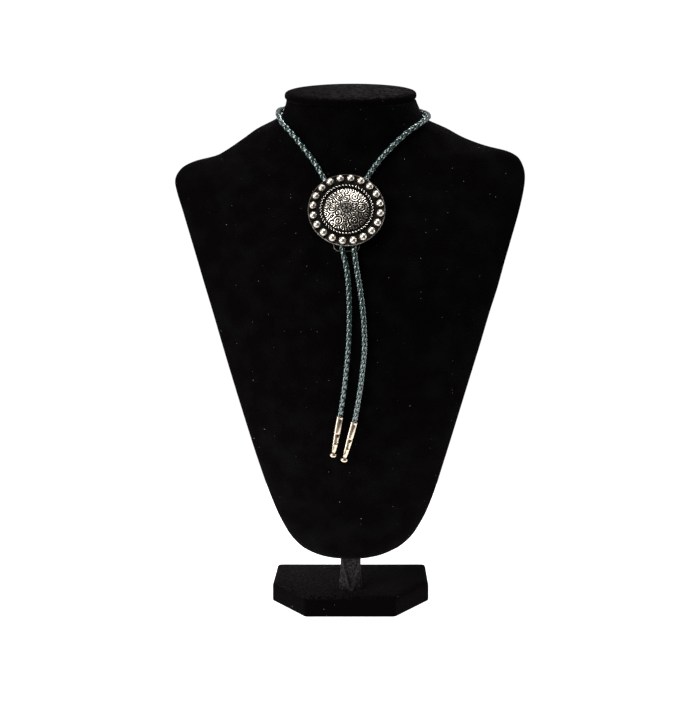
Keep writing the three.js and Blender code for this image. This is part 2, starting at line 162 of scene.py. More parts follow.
@dataclass(frozen=True)
class Velvet:
    """Black cotton velvet over foam: a dense pile that swallows light and glows only when seen edge-on.

    Handling has flattened its pile in soft patches and left specks of lint. Where a height and a side are
    given, those lighter patches are also painted light, gathered on the top and towards one side where the
    lamps fall.
    """

    name: str = "black_velvet"
    pile: str = "#060405"
    brushed_and_lit: str = "#0b0a0a"
    lint: str = "#b5b0ab"
    sheen: float = 0.080
    patch_size: float = 0.014
    patch_low: float = 0.42
    patch_high: float = 0.68
    # The real tufts are about 0.3 mm across, too fine to show, and are drawn at 1 mm
    pile_size: float = 0.0010
    pile_depth: float = 0.0008
    lint_spacing: float = 0.0035
    lint_size: float = 0.00024
    lint_rarity: float = 9.0
    # Painted light: the lighter patches show fully from this height up, and not at all a little below it, so
    # a lit top reads lighter than the sides
    above: float = -1.0
    fade: float = 0.0024
    # Painted light: the patches show twice as much this far to the left, and not at all as far to the right,
    # for the side that the lamps fall on. A minus swaps them
    painted_light_lean: float = 10.0

    def material(self) -> bpy.types.Material:
        """Makes the velvet: lighter patches, which where set are also painted light on the top and one side,
        a pile bump and stray specks of lint.

        Returns:
            The material.
        """
        material, tree, shader = new_surface(
            self.name, Roughness=1.0, Specular_IOR_Level=0.02, Sheen_Weight=self.sheen, Sheen_Roughness=0.28,
            Sheen_Tint=linear("#d6cfd2"),
        )
        place = add_node(tree, "ShaderNodeTexCoord").outputs["Object"]
        patches = add_node(tree, "ShaderNodeTexNoise", {
            "Vector": place, "Scale": 1 / self.patch_size, "Detail": 3.0,
        })
        eased = add_node(tree, "ShaderNodeMapRange", {
            "Value": patches, "From Min": self.patch_low, "From Max": self.patch_high,
        })
        # Painted light: a mask that is lighter on the top and towards one side, where the lamps fall
        spot = add_node(tree, "ShaderNodeSeparateXYZ", {"Vector": place})
        painted_top_light = add_node(tree, "ShaderNodeMapRange", {
            "Value": spot.outputs["Z"], "From Min": self.above - self.fade, "From Max": self.above,
        })
        side = add_node(tree, "ShaderNodeMapRange", {
            "Value": spot.outputs["X"], "From Min": self.painted_light_lean, "From Max": -self.painted_light_lean, "To Max": 2.0,
        })
        reach = add_node(tree, "ShaderNodeMath", {0: painted_top_light, 1: side}, operation="MULTIPLY")
        # The patches, and where set the painted light on the top and one side
        worn = add_node(tree, "ShaderNodeMath", {0: eased, 1: reach}, operation="MULTIPLY")
        velvet = add_node(tree, "ShaderNodeMix", {
            "Factor": worn, "A": linear(self.pile), "B": linear(self.brushed_and_lit),
        }, data_type="RGBA")
        # Lint: a speck in the middle of each cell, most of them faint
        cells = add_node(tree, "ShaderNodeTexVoronoi", {"Vector": place, "Scale": 1 / self.lint_spacing})
        near = add_node(tree, "ShaderNodeMath", {
            0: cells.outputs["Distance"], 1: self.lint_size / self.lint_spacing,
        }, operation="LESS_THAN")
        draw = add_node(tree, "ShaderNodeSeparateColor", {"Color": cells.outputs["Color"]})
        faint = add_node(tree, "ShaderNodeMath", {
            0: draw.outputs["Red"], 1: self.lint_rarity,
        }, operation="POWER")
        speck = add_node(tree, "ShaderNodeMath", {0: near, 1: faint}, operation="MULTIPLY")
        colour = add_node(tree, "ShaderNodeMix", {
            "Factor": speck, "A": velvet, "B": linear(self.lint),
        }, data_type="RGBA")
        tufts = add_node(tree, "ShaderNodeTexNoise", {
            "Vector": place, "Scale": 1 / self.pile_size, "Detail": 2.0,
        })
        bump = add_node(tree, "ShaderNodeBump", {
            "Height": tufts, "Strength": 0.9, "Distance": self.pile_depth,
        })
        fill(shader, {"Base Color": colour, "Normal": bump})
        return material


@dataclass(frozen=True)
class AntiquedSilver:
    """Silver plate, blackened all over and polished back, so that the oxide stays in the recesses."""

    name: str = "antiqued_silver"
    silver: str = "#f0e7da"
    oxide: str = "#0a0807"
    polish: float = 0.23
    dull: float = 0.42
    oxide_metallic: float = 0.4
    # Stains of about 1.1 mm, as many to the metre, and how far one ranges over a recess of 0 to 1
    stains: float = 900.0
    stain_reach: float = 0.30
    clean_below: float = 0.38
    black_above: float = 0.72
    # Polishing scratches are finer than a pixel, and are drawn at 0.9 mm
    scratch_size: float = 0.0009
    scratch_depth: float = 0.00008

    def material(self) -> bpy.types.Material:
        """Makes the silver, which reads the piece's recess attribute: 0 on high places, 1 in the oxide.

        Returns:
            The material.
        """
        material, tree, shader = new_surface(self.name, Specular_IOR_Level=0.28)
        place = add_node(tree, "ShaderNodeTexCoord").outputs["Object"]
        recess = add_node(tree, "ShaderNodeAttribute", attribute_name="recess").outputs["Fac"]
        stain = add_node(tree, "ShaderNodeTexNoise", {"Vector": place, "Scale": self.stains, "Detail": 4.0})
        ragged = add_node(tree, "ShaderNodeMath", {
            0: stain, 1: self.stain_reach, 2: recess,
        }, operation="MULTIPLY_ADD")
        black = add_node(tree, "ShaderNodeMapRange", {
            "Value": ragged, "From Min": self.clean_below, "From Max": self.black_above,
        })
        colour = add_node(tree, "ShaderNodeMix", {
            "Factor": black, "A": linear(self.silver), "B": linear(self.oxide),
        }, data_type="RGBA")
        rough = add_node(tree, "ShaderNodeMapRange", {
            "Value": black, "To Min": self.polish, "To Max": self.dull,
        })
        metal = add_node(tree, "ShaderNodeMapRange", {
            "Value": black, "To Min": 1.0, "To Max": self.oxide_metallic,
        })
        scratches = add_node(tree, "ShaderNodeTexNoise", {
            "Vector": place, "Scale": 1 / self.scratch_size, "Detail": 5.0,
        })
        bump = add_node(tree, "ShaderNodeBump", {
            "Height": scratches, "Strength": 0.12, "Distance": self.scratch_depth,
        })
        fill(shader, {"Base Color": colour, "Roughness": rough, "Metallic": metal, "Normal": bump})
        return material


@dataclass(frozen=True)
class BrightSilver:
    """Polished silver plate, spun and buffed, with faint wiping marks."""

    name: str = "bright_silver"
    silver: str = "#ecdcc8"
    worn: str = "#c4b29a"
    polish: float = 0.12
    wear: float = 0.16
    # Changes of tone of about 4 mm, as many to the metre
    tones: float = 260.0
    # Marks 0.25 mm wide and 2 mm long, as many to the metre each way
    marks: tuple[float, float, float] = (4000.0, 4000.0, 500.0)
    mark_depth: float = 0.00005

    def material(self) -> bpy.types.Material:
        """Makes the silver, with a soft change of tone and fine buffing marks.

        Returns:
            The material.
        """
        material, tree, shader = new_surface(self.name, Metallic=1.0)
        place = add_node(tree, "ShaderNodeTexCoord").outputs["Object"]
        tone = add_node(tree, "ShaderNodeTexNoise", {"Vector": place, "Scale": self.tones, "Detail": 4.0})
        colour = add_node(tree, "ShaderNodeMix", {
            "Factor": tone, "A": linear(self.silver), "B": linear(self.worn),
        }, data_type="RGBA")
        rough = add_node(tree, "ShaderNodeMapRange", {
            "Value": tone, "To Min": self.polish, "To Max": self.polish + self.wear,
        })
        lines = add_node(tree, "ShaderNodeMapping", {"Vector": place, "Scale": self.marks})
        buffing = add_node(tree, "ShaderNodeTexNoise", {"Vector": lines, "Scale": 1.0})
        bump = add_node(tree, "ShaderNodeBump", {
            "Height": buffing, "Strength": 0.06, "Distance": self.mark_depth,
        })
        fill(shader, {"Base Color": colour, "Roughness": rough, "Normal": bump})
        return material


@dataclass(frozen=True)
class BraidLeather:
    """Thin leather lace, dyed deep teal and waxed, with a wet gleam on its crowns and painted shade between
    its strands.
    """

    name: str = "teal_lace_leather"
    dye: str = "#072523"
    rubbed: str = "#103f3b"
    # Painted shade: the near-black that fills the braid's crevices
    deep: str = "#010706"
    # The real grain is about 0.1 mm, too fine to show, and is drawn at 0.5 mm
    grain_size: float = 0.0005
    grain_depth: float = 0.00008

    def material(self) -> bpy.types.Material:
        """Makes the leather, which reads the cord's recess attribute, 0 on the crowns and 1 deep in the
        braid, and paints shade into the deep places.

        Returns:
            The material.
        """
        material, tree, shader = new_surface(
            self.name, Roughness=0.15, Specular_IOR_Level=0.7, Coat_Weight=1.0, Coat_Roughness=0.04,
            Coat_IOR=2.1, Specular_Tint=linear("#c4eee8"),
        )
        place = add_node(tree, "ShaderNodeTexCoord").outputs["Object"]
        grain = add_node(tree, "ShaderNodeTexNoise", {
            "Vector": place, "Scale": 1 / self.grain_size, "Detail": 4.0,
        })
        dye = add_node(tree, "ShaderNodeMix", {
            "Factor": grain, "A": linear(self.dye), "B": linear(self.rubbed),
        }, data_type="RGBA")
        # Painted shade: the colour darkens the deeper a point lies between the strands
        depth = add_node(tree, "ShaderNodeAttribute", attribute_name="recess").outputs["Fac"]
        colour = add_node(tree, "ShaderNodeMix", {
            "Factor": depth, "A": dye, "B": linear(self.deep),
        }, data_type="RGBA")
        bump = add_node(tree, "ShaderNodeBump", {
            "Height": grain, "Strength": 0.08, "Distance": self.grain_depth,
        })
        fill(shader, {"Base Color": colour, "Normal": bump})
        return material


def lay_grid(bm: bmesh.types.BMesh, along: int, around: int, place: Place) -> None:
    """Lays a new grid of faces over a surface, joins its seam and closes its ends.

    Args:
        bm: The mesh that gets the faces.
        along: How many faces lengthwise.
        around: How many faces round about.
        place: Gives the point at a share of the way along and around.
    """
    made = bmesh.ops.create_grid(bm, x_segments=along, y_segments=around, size=1.0, calc_uvs=True)
    for vert in made["verts"]:
        vert.co = place((vert.co.x + 1) / 2, (vert.co.y + 1) / 2)
    bmesh.ops.remove_doubles(bm, verts=made["verts"], dist=SEAM)
    bmesh.ops.holes_fill(bm, edges=[edge for edge in bm.edges if edge.is_boundary], sides=0)


def turned(bm: bmesh.types.BMesh, profile: Sequence[tuple[float, float]], steps: int) -> None:
    """Turns a profile about the Z axis.

    Args:
        bm: The mesh that gets the faces.
        profile: Radius and height of each point, starting and ending on the axis.
        steps: How many faces round about.
    """
    verts = [bm.verts.new((radius, 0.0, height)) for radius, height in profile]
    edges = [bm.edges.new(pair) for pair in zip(verts, verts[1:])]
    bmesh.ops.spin(
        bm, geom=verts + edges, cent=(0, 0, 0), axis=(0, 0, 1), angle=FULL_TURN, steps=steps, use_merge=True,
    )
    bmesh.ops.remove_doubles(bm, verts=bm.verts[:], dist=TURNED_SEAM)


def finished(
    bm: bmesh.types.BMesh, name: str, surface: bpy.types.Material, slot: Slot, *nodes: str,
    crease: float = 40.0,
) -> bpy.types.Object:
    """Makes a piece from a mesh: normals outward, smooth but for its creases, riding on the body.

    Args:
        bm: The mesh, which is freed.
        name: The piece's name.
        surface: Its material.
        slot: Its material slot. Not used.
        *nodes: The CAD nodes that it stands for.
        crease: Edges that turn by more degrees than this stay sharp.

    Returns:
        The piece.
    """
    bmesh.ops.recalc_face_normals(bm, faces=bm.faces[:])
    for face in bm.faces:
        face.smooth = True
    for edge in bm.edges:
        edge.smooth = edge.calc_face_angle(0.0) < math.radians(crease)
    mesh = bpy.data.meshes.new(name)
    bm.to_mesh(mesh)
    bm.free()
    mesh.materials.append(surface)
    piece = bpy.data.objects.new(name, mesh)
    bpy.context.scene.collection.objects.link(piece)
    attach(piece, "root")
    if nodes:
        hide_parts(*nodes)
    LOG.info("%s: %d faces", name, len(mesh.polygons))
    return piece


def new_mesh() -> tuple[bmesh.types.BMesh, bmesh.types.BMLayerItem]:
    """Starts a mesh that has a UV map.

    Returns:
        The mesh, and its recess attribute: 0 on high places, 1 in the deepest.
    """
    bm = bmesh.new()
    bm.loops.layers.uv.new("UVMap")
    return bm, bm.verts.layers.float.new("recess")


class Route:
    """A smooth curve through points, with steady frames along it."""

    # How many short lines each span is first cut into
    SPAN_STEPS = 24

    def __init__(self, points: Sequence[Vector], step: float) -> None:
        """Samples the curve.

        Args:
            points: The points that it goes through.
            step: The longest distance between samples.
        """
        ends = [2 * points[0] - points[1], *points, 2 * points[-1] - points[-2]]
        fine = [points[0]]
        for before, start, stop, after in zip(ends, ends[1:], ends[2:], ends[3:]):
            fine.extend(self._span(before, start, stop, after))
        lengths = [0.0]
        for here, there in zip(fine, fine[1:]):
            lengths.append(lengths[-1] + (there - here).length)
        self.length = lengths[-1]
        self.count = math.ceil(self.length / step)
        self.points = []
        place = 0
        for index in range(self.count + 1):
            target = self.length * index / self.count
            while place < len(fine) - 2 and lengths[place + 1] < target:
                place += 1
            part = (target - lengths[place]) / (lengths[place + 1] - lengths[place])
            self.points.append(fine[place].lerp(fine[place + 1], part))
        self.tangents = [
            (self.points[min(i + 1, self.count)] - self.points[max(i - 1, 0)]).normalized()
            for i in range(self.count + 1)
        ]
        self.normals = []
        carried = FRONT
        for index, tangent in enumerate(self.tangents):
            if index:
                carried = self.tangents[index - 1].rotation_difference(tangent) @ carried
            carried = (carried - tangent * carried.dot(tangent)).normalized()
            self.normals.append(carried)

    def _span(self, before: Vector, start: Vector, stop: Vector, after: Vector) -> list[Vector]:
        """Works out one span of a centripetal curve.

        Args:
            before: The point before the span.
            start: Its first point.
            stop: Its last point.
            after: The point after it.

        Returns:
            The span's points, without its first.
        """
        gap_a = math.sqrt((start - before).length)
        gap_b = math.sqrt((stop - start).length)
        gap_c = math.sqrt((after - stop).length)
        leave = (start - before) / gap_a - (stop - before) / (gap_a + gap_b) + (stop - start) / gap_b
        reach = (stop - start) / gap_b - (after - start) / (gap_b + gap_c) + (after - stop) / gap_c
        leave, reach = leave * gap_b, reach * gap_b
        square = 3 * (stop - start) - 2 * leave - reach
        cube = 2 * (start - stop) + leave + reach
        shares = [index / self.SPAN_STEPS for index in range(1, self.SPAN_STEPS + 1)]
        return [start + leave * s + square * s ** 2 + cube * s ** 3 for s in shares]

    def at(self, distance: float, angle: float, radius: float) -> Vector:
        """Gives a point beside the curve.

        Args:
            distance: How far along the curve.
            angle: The angle round it.
            radius: How far out from it.

        Returns:
            The point.
        """
        place = min(max(distance / self.length, 0.0), 1.0) * self.count
        index = min(int(place), self.count - 1)
        part = place - index
        centre = self.points[index].lerp(self.points[index + 1], part)
        tangent = self.tangents[index].lerp(self.tangents[index + 1], part).normalized()
        normal = self.normals[index].lerp(self.normals[index + 1], part).normalized()
        side = tangent.cross(normal)
        return centre + radius * (math.cos(angle) * normal + math.sin(angle) * side)

    def angle_of(self, distance: float, toward: Vector) -> float:
        """Gives the angle round the curve that faces a direction.

        Args:
            distance: How far along the curve.
            toward: The direction.

        Returns:
            The angle, in radians.
        """
        index = round(distance / self.length * self.count)
        side = self.tangents[index].cross(self.normals[index])
        return math.atan2(toward.dot(side), toward.dot(self.normals[index]))


# Millimetres: left tail from its tip, clasp, left chest, back of the neck, right chest, clasp, right tail
CORD_ROUTE = (
    (-6.7, -48.3, 138.6), (-3.9, -48.5, 158.5), (-1.5, -48.3, 184), (-0.8, -46.7, 202), (-1.1, -43, 218),
    (-2.3, -38.9, 232), (-5.2, -33.2, 245.4), (-6.5, -25.9, 256.5), (-6.5, -19, 267), (-9.2, -13.8, 274.4),
    (-16.3, -6.3, 284.9), (-22.5, -0.8, 294.6), (-30, 3.9, 304.2), (-37.7, 8.7, 312.9), (-44.4, 15.5, 319.4),
    (-46.7, 22.5, 322.9), (-47.1, 37, 323.6), (-43.9, 51.2, 322.8), (-25, 69.7, 322.6), (0, 74.6, 322.6),
    (25.8, 69.8, 321.8), (46.5, 51.2, 321), (50.8, 37.5, 320.9), (49.9, 26.5, 320.8), (45.5, 16.3, 319),
    (37.1, 8.8, 314.4), (26.8, 3.4, 305.7), (17.7, -0.8, 296.3), (9.6, -6.9, 285.4), (3.7, -13.4, 275),
    (1.7, -19, 267), (1.7, -25.9, 256.5), (2.2, -33.2, 245.4), (4.1, -38.9, 232), (6.6, -43.2, 217.5),
    (8.5, -47.2, 199), (8.8, -48.5, 183), (7.1, -48.6, 164.5), (4.8, -48.5, 148), (2.4, -48.3, 134.9),
)


@dataclass
class BraidedCord:
    """The round braided cord, from the left tip's mouth round the neck to the right tip's."""

    diameter: float = 0.0040
    length: float = 0.609
    in_tip: float = 0.0020
    line_step: float = 0.0007
    pitch: float = 0.0118
    strand_width: float = 0.0027
    strand_thickness: float = 0.00086
    strand_step: float = 0.00042
    strand_sides: int = 10
    # How square the strand's section is, across and through: 1 is an oval
    square_across: float = 0.8
    square_through: float = 0.7
    lay_radius: float = 0.00129
    swing: float = 0.00028
    # How far from each end the braid's turn is set, near the middle of each tail
    left_set: float = 0.045
    right_set: float = 0.055
    # From and to what depth the braid's painted shade darkens
    light_depth: float = 0.0002
    dark_depth: float = 0.0007

    def route(self) -> Route:
        """Lays the cord's line, which goes a little way into each tip.

        Returns:
            The line.
        """
        points = [Vector(point) * MM for point in CORD_ROUTE]
        first = points[0] + (points[0] - points[1]).normalized() * self.in_tip
        last = points[-1] + (points[-1] - points[-2]).normalized() * self.in_tip
        return Route([first, *points, last], self.line_step)

    def strand(self, bm: bmesh.types.BMesh, route: Route, start: float, lay: Lay, twist: Twist) -> None:
        """Lays one flat strand, which goes over and under those of the other lay.

        Args:
            bm: The mesh that gets it.
            route: The cord's line.
            start: Its first angle round the cord.
            lay: Which way it winds.
            twist: Gives the turn of the whole braid at a distance along.
        """
        sense = lay.value

        def place(along: float, around: float) -> Vector:
            """Puts a point of the strand's round-edged flat section.

            Args:
                along: The share of the cord's length.
                around: The share of a turn round the section.

            Returns:
                The point.
            """
            distance = along * route.length
            radius = self.lay_radius + sense * self.swing * math.cos(2 * FULL_TURN * distance / self.pitch)
            slope = math.atan(FULL_TURN * radius / self.pitch)
            width = self.strand_width / 2 * signed_power(math.cos(FULL_TURN * around), self.square_across)
            rise = self.strand_thickness / 2 * signed_power(math.sin(FULL_TURN * around), self.square_through)
            moved = distance - sense * width * math.sin(slope)
            angle = sense * FULL_TURN * distance / self.pitch + start + width * math.cos(slope) / radius
            return route.at(moved, angle + twist(moved), radius + rise)

        lay_grid(bm, round(route.length / self.strand_step), self.strand_sides, place)

    def build(self, leather: bpy.types.Material, tips: Sequence[bpy.types.Object]) -> bpy.types.Object:
        """Args:
            leather: Its material.
            tips: The two tips on its ends. Not used.

        Returns:
            The cord.
        """
        route = self.route()
        left, right = self.left_set, route.length - self.right_set
        # Seen from the front, both tails show their strands meeting in a V
        turn_left = route.angle_of(left, FRONT) - math.radians(135)
        turn_right = route.angle_of(right, FRONT) - math.radians(45)
        spread = (turn_right - turn_left + math.pi / 2) % math.pi - math.pi / 2

        def twist(distance: float) -> float:
            """Gives the slow turn of the whole braid that shows both tails alike."""
            return turn_left + spread * (distance - left) / (right - left)

        bm, _ = new_mesh()
        for start in (0.0, math.pi):
            for lay in Lay:
                self.strand(bm, route, start, lay, twist)
        cord = finished(bm, "braided_cord", leather, Slot.LEATHER, "cord", crease=80)
        self._shade_depth(cord, route.points)
        [tuple(point) for point in route.points]
        return cord

    def _shade_depth(self, cord: bpy.types.Object, line: Sequence[Vector]) -> None:
        """Sets the recess attribute by how deep each point lies in the braid, which the leather paints as
        shade.

        Args:
            cord: The cord.
            line: The points along its middle.
        """
        tree = KDTree(len(line))
        for index, point in enumerate(line):
            tree.insert(point, index)
        tree.balance()
        values = cord.data.attributes["recess"].data
        for vert, value in zip(cord.data.vertices, values):
            depth = self.diameter / 2 - tree.find(vert.co)[2]
            value.value = smooth_step(self.light_depth, self.dark_depth, depth)


# Millimetres. Radius and distance from the mouth
TIP_PROFILE = (
    (2.12, 2.6), (2.12, 0.15), (2.26, 0.0), (2.4, 0.15), (2.44, 0.9), (2.32, 1.3), (2.38, 2.0), (2.4, 5.0),
    (2.4, 11.0), (2.32, 11.5), (2.1, 11.8), (2.12, 12.1), (2.25, 12.5), (2.2, 14.5), (1.95, 18.0),
    (1.97, 18.3), (2.1, 18.6), (2.02, 19.2), (1.78, 21.6), (1.5, 23.9), (1.2, 24.6), (1.45, 24.85),
    (2.1, 25.3), (2.38, 25.8), (2.45, 26.3), (2.38, 26.8), (2.1, 27.3), (1.6, 27.8), (1.0, 28.05),
    (0.0, 28.1),
)


@dataclass
class Tip:
    """A spun metal tip: a barrel with a scalloped mouth, a fluted taper and a flattened ball.

    Its mouth and end are in millimetres, as are the places of its cuts.
    """

    name: str
    mouth: tuple[float, float, float]
    end: tuple[float, float, float]
    steps: int = 80
    bore_depth: float = 2.6
    mouth_inside: float = 2.2
    scallops: int = 10
    scallop_depth: float = 0.28
    scallop_reach: float = 1.0
    flutes: int = 8
    # Where the flutes fade in and out
    flutes_in: tuple[float, float] = (18.7, 20)
    flutes_out: tuple[float, float] = (23, 24)
    # The share of the radius that a flute takes away
    flute_depth: float = 0.10
    flute_shade: float = 0.6
    # Each dark groove's distance from the mouth, and how far its oxide spreads
    grooves: tuple[tuple[float, float], ...] = ((11.8, 0.5), (24.6, 0.7))

    def build(self, silver: bpy.types.Material) -> bpy.types.Object:
        """Turns the tip, cuts its scallops and flutes, and hangs it on its cord's end.

        Args:
            silver: Its material.

        Returns:
            The tip.
        """
        bm, recess = new_mesh()
        closed = [(0.0, -self.bore_depth * MM), *((radius * MM, -down * MM) for radius, down in TIP_PROFILE)]
        turned(bm, closed, self.steps)
        for vert in bm.verts:
            down = -vert.co.z
            turn = math.atan2(vert.co.y, vert.co.x)
            outer = math.hypot(vert.co.x, vert.co.y) > self.mouth_inside * MM
            if outer and down < self.scallop_reach * MM:
                wave = 0.5 - 0.5 * math.cos(self.scallops * turn)
                vert.co.z -= self.scallop_depth * MM * wave * (1 - down / (self.scallop_reach * MM))
            fluted = smooth_step(*self.flutes_in, down / MM) * (1 - smooth_step(*self.flutes_out, down / MM))
            cut = fluted * (0.5 - 0.5 * math.cos(self.flutes * turn))
            vert.co.x *= 1 - self.flute_depth * cut
            vert.co.y *= 1 - self.flute_depth * cut
            groove = max(1 - abs(down - place * MM) / (reach * MM) for place, reach in self.grooves)
            vert[recess] = min(max(groove, self.flute_shade * cut, 0.0), 1.0)
        axis = (Vector(self.mouth) - Vector(self.end)).normalized()
        turn_to = Vector((0.0, 0.0, 1.0)).rotation_difference(axis).to_matrix().to_4x4()
        bm.transform(Matrix.Translation(Vector(self.mouth) * MM) @ turn_to)
        return finished(bm, self.name, silver, Slot.BRIGHT, self.name.replace("spun_", ""))


@dataclass
class Concho:
    """The round slide: backplate with a thin rim, twenty beads, a twisted rope and a dome of scrolls."""

    radius: float = 0.0249
    plate_steps: int = 160
    plate_edge: float = 0.0003
    rim_height: float = 0.0017
    rim_width: float = 0.0006
    rim_shade: float = 0.50
    floor: float = 0.0012
    rope_seat: float = 0.0016
    bead_count: int = 20
    bead_segments: int = 32
    bead_rings: int = 20
    bead_radius: float = 0.00248
    bead_circle: float = 0.0218
    bead_turn: float = math.radians(2)
    bead_shade: float = 0.0006
    rope_radius: float = 0.0167
    rope_strand: float = 0.00044
    rope_turns: int = 25
    rope_lift: float = 0.0006
    rope_steps: int = 600
    rope_sides: int = 10
    # How high over the rope's middle its oxide starts to thin, and ends
    rope_dark: float = 0.00046
    rope_bright: float = 0.00080
    dome_radius: float = 0.0149
    dome_rings: int = 128
    dome_steps: int = 400
    dome_base: float = 0.0019
    dome_apex: float = 0.0052
    # The real scrolls are too fine to follow, and are drawn 1.5 mm apart
    scroll_pitch: float = 0.00152
    # Where a groove's wall starts and ends, on a wave from 0 to 1
    groove_foot: float = 0.47
    groove_lip: float = 0.84
    relief: float = 0.00016
    unevenness: float = 0.00045
    # How wide the carving fades out between two scrolls, and at the dome's edge
    scroll_border: float = 0.0005
    dome_border: float = 0.0006
    medallion_radius: float = 0.0044
    medallion_ring: float = 0.0038
    ring_width: float = 0.00022
    petal_count: int = 8

    def dome_height(self, distance: float) -> float:
        """Gives the height of the dome's smooth surface.

        Args:
            distance: How far from its axis.

        Returns:
            The height.
        """
        rise = self.dome_apex - self.dome_base
        sphere = (self.dome_radius ** 2 + rise ** 2) / (2 * rise)
        return self.dome_apex - sphere + math.sqrt(sphere ** 2 - distance ** 2)

    def scroll_centres(self) -> list[tuple[float, float, float, int]]:
        """Sets out the scrolls in three rings.

        Returns:
            For each scroll, its centre, how far it pushes its neighbours away, and which way it winds.
        """
        # Scrolls, circle, shift round it in scrolls, push, winding
        rings = ((6, 0.0095, 0.0, 0.0006, 1), (6, 0.0066, 0.5, -0.0008, -1), (12, 0.0135, 0.5, -0.0004, -1))
        centres = []
        for count, circle, shift, push, sense in rings:
            for index in range(count):
                # Spaced by hand, up to 2 degrees out
                turn = FULL_TURN * (index + shift) / count + 0.03 * math.sin(7.3 * index)
                centres.append((circle * math.cos(turn), circle * math.sin(turn), push, sense))
        return centres

    def carving(self, x: float, y: float, centres: Sequence[tuple[float, float, float, int]]) -> float:
        """Gives the height of the dome's carving at a place.

        Args:
            x: Its place to the right of the dome's middle.
            y: Its place above the middle.
            centres: The scrolls.

        Returns:
            The height, from 0 in a groove to 1 on a ridge.
        """
        distance = math.hypot(x, y)
        if distance < self.medallion_radius:
            return self.medallion(x, y, distance)
        # Cut by hand, so waves 13 mm long shift the scrolls, and no two are quite alike
        x += self.unevenness * math.sin(410 * y + 260 * x)
        y += self.unevenness * math.sin(370 * x - 300 * y + 1.0)
        found = sorted((math.hypot(x - cx, y - cy) - push, cx, cy, sense) for cx, cy, push, sense in centres)
        (near, cx, cy, sense), (second, *_) = found[:2]
        turn = math.atan2(y - cy, x - cx)
        reach = math.hypot(x - cx, y - cy)
        wave = 0.5 + 0.5 * math.cos(FULL_TURN * reach / self.scroll_pitch - sense * turn)
        border = smooth_step(0.0, self.scroll_border, second - near)
        edge = 1 - smooth_step(self.dome_radius - self.dome_border, self.dome_radius, distance)
        return smooth_step(self.groove_foot, self.groove_lip, wave) * (0.6 + 0.4 * border) * edge

    def medallion(self, x: float, y: float, distance: float) -> float:
        """Gives the height of the low round boss in the middle, which has worn petals and a ring round it.

        Args:
            x: The place to the right of the middle.
            y: The place above the middle.
            distance: How far that is from the middle.

        Returns:
            The height, from 0 in a groove to 1 on a ridge.
        """
        turn = math.atan2(y, x)
        ring = math.exp(-((distance - self.medallion_ring) / self.ring_width) ** 2)
        petals = (0.5 + 0.5 * math.cos(self.petal_count * turn)) * smooth_step(0.0007, 0.0014, distance)
        petals *= 1 - smooth_step(0.0026, 0.0032, distance)
        edge = 1 - 0.6 * smooth_step(self.medallion_radius - 0.0002, self.medallion_radius, distance)
        return min(max(0.75 * ring, 0.30 + 0.35 * petals) * edge, 1.0)

    def plate(self, silver: bpy.types.Material) -> bpy.types.Object:
        """Turns the backplate with its rim, channel and rope seat.

        Args:
            silver: Its material.

        Returns:
            The plate.
        """
        bm, recess = new_mesh()
        edge = self.plate_edge
        # Up the outer wall, over the rounded rim, along the channel and up the low step of the rope's seat
        profile = [
            (0.0, 0.0), (self.radius - edge, 0.0), (self.radius, edge), (self.radius, self.rim_height - edge),
            (self.radius - 0.35 * self.rim_width, self.rim_height),
            (self.radius - 0.75 * self.rim_width, self.rim_height - 0.0001),
            (self.radius - self.rim_width, self.floor + 0.0001),
            (self.radius - 1.3 * self.rim_width, self.floor),
            (self.bead_circle, self.floor), (self.rope_radius + 0.0014, self.floor),
            (self.rope_radius + 0.0012, self.rope_seat), (self.dome_radius - 0.0002, self.rope_seat),
            (0.0, self.rope_seat),
        ]
        turned(bm, profile, self.plate_steps)
        for vert in bm.verts:
            inside = self.radius - math.hypot(vert.co.x, vert.co.y) > 0.9 * self.rim_width
            wall = vert.co.z < self.rim_height - 1.2 * edge
            vert[recess] = 1.0 if inside or wall else self.rim_shade
        bm.transform(CONCHO_PLACE)
        return finished(bm, "concho_plate", silver, Slot.ANTIQUED, "concho", crease=30)

    def beads(self, silver: bpy.types.Material) -> bpy.types.Object:
        """Sets the round beads in the channel, with a gap at the very top.

        Args:
            silver: Their material.

        Returns:
            The beads.
        """
        bm, recess = new_mesh()
        height = self.floor + self.bead_radius / 2
        for index in range(self.bead_count):
            turn = FULL_TURN * (index + 0.5) / self.bead_count + math.pi / 2 + self.bead_turn
            place = (self.bead_circle * math.cos(turn), self.bead_circle * math.sin(turn), height)
            bmesh.ops.create_uvsphere(
                bm, u_segments=self.bead_segments, v_segments=self.bead_rings, radius=self.bead_radius,
                matrix=Matrix.Translation(place),
            )
        for vert in bm.verts:
            vert[recess] = 1 - smooth_step(self.floor, self.floor + self.bead_shade, vert.co.z)
        bm.transform(CONCHO_PLACE)
        return finished(bm, "concho_beads", silver, Slot.ANTIQUED, "concho")

    def rope_point(self, start: float, along: float, around: float) -> Vector:
        """Puts a point on one of the two twisted wires.

        Args:
            start: The wire's first angle round the rope.
            along: The share of a turn round the ring.
            around: The share of a turn round the wire.

        Returns:
            The point.
        """
        turn = FULL_TURN * along
        twist = start - self.rope_turns * turn
        radius = self.rope_radius + self.rope_strand * math.cos(twist)
        out = self.rope_strand * math.cos(FULL_TURN * around)
        up = self.rope_strand * math.sin(FULL_TURN * around)
        level = self.rope_seat + self.rope_lift + self.rope_strand * math.sin(twist) + up
        return Vector(((radius + out) * math.cos(turn), (radius + out) * math.sin(turn), level))

    def rope(self, silver: bpy.types.Material) -> bpy.types.Object:
        """Lays the rope ring: two wires twisted left-handed round each other.

        Args:
            silver: Its material.

        Returns:
            The rope.
        """
        bm, recess = new_mesh()
        for start in (0.0, math.pi):
            lay_grid(bm, self.rope_steps, self.rope_sides, partial(self.rope_point, start))
        height = self.rope_seat + self.rope_lift
        for vert in bm.verts:
            vert[recess] = 1 - smooth_step(height + self.rope_dark, height + self.rope_bright, vert.co.z)
        bm.transform(CONCHO_PLACE)
        return finished(bm, "concho_rope", silver, Slot.ANTIQUED, "concho", crease=80)

